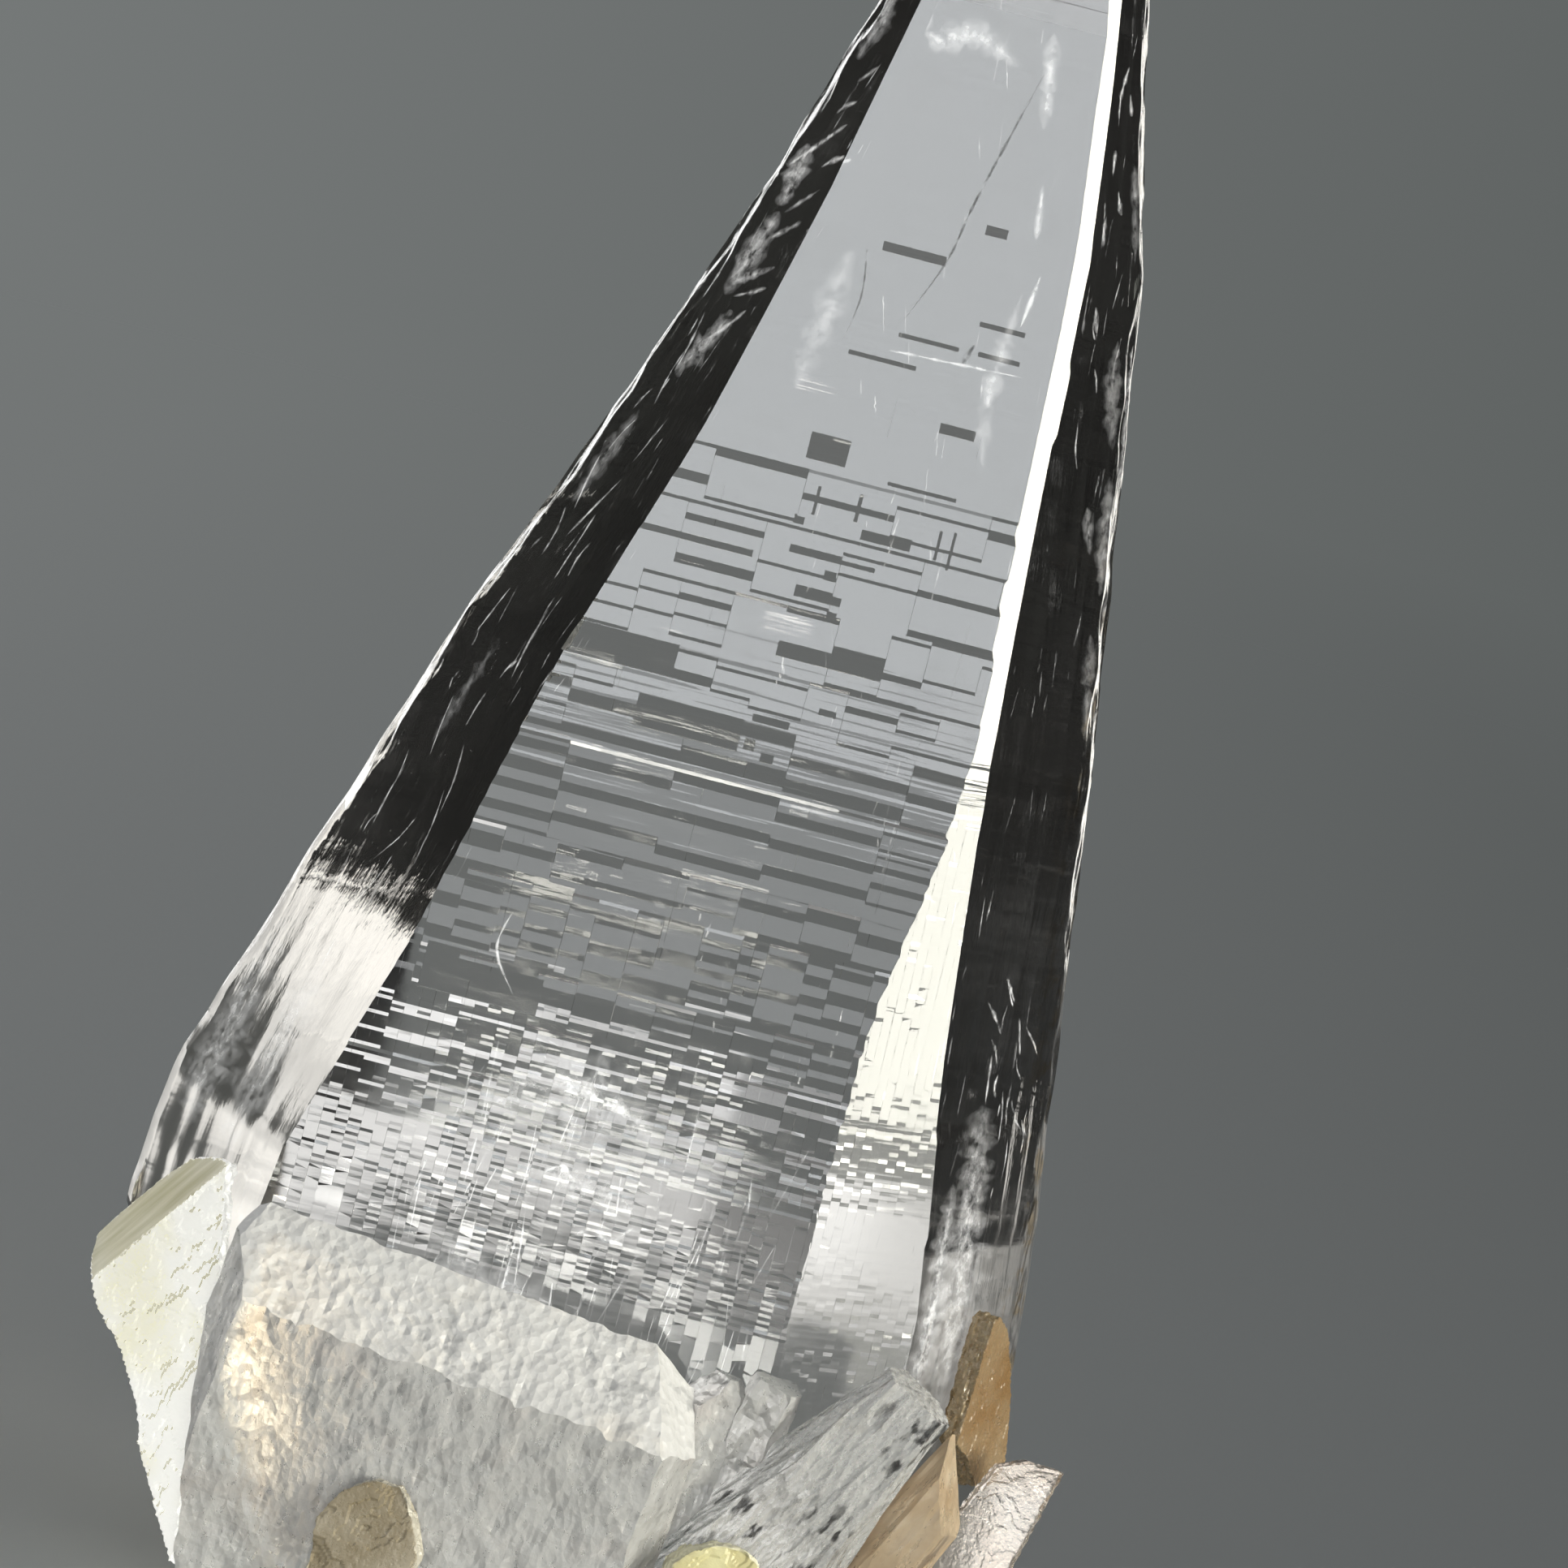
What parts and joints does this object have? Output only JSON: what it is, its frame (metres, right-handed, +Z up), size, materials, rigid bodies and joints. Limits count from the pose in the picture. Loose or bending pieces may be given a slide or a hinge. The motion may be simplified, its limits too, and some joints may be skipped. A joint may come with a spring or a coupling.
{
  "type": "tessin habit quartz crystal",
  "caption": "Clear tapering hexagonal quartz point with fine growth ledges, small frosted and etched crystals grown into its foot, and mica plates and chips lying against it.",
  "frame": {"origin": "on the flat cut that the crystal stands on, straight below its tip", "axes": "+Z up along the crystal's c-axis to the tip, -Y out of the broad front face, +X to the right seen from the front"},
  "size_m": [0.0761, 0.0508, 0.156],
  "materials": {
    "clear_quartz": "clear, glossy, faintly smoky, with fine growth steps",
    "pale_mica": "pearly pale yellow with an olive edge",
    "amber_mica": "glossy amber brown, lets some light through",
    "tan_mica": "thin, glossy, see-through tan"
  },
  "bodies": {
    "root": {"quartz_crystal": "clear_quartz", "left_mica_plate": "pale_mica", "right_mica_plate": "amber_mica", "thin_mica_blade": "tan_mica", "yellow_chip": "pale_mica", "brown_chip": "amber_mica"}
  },
  "joints": []
}
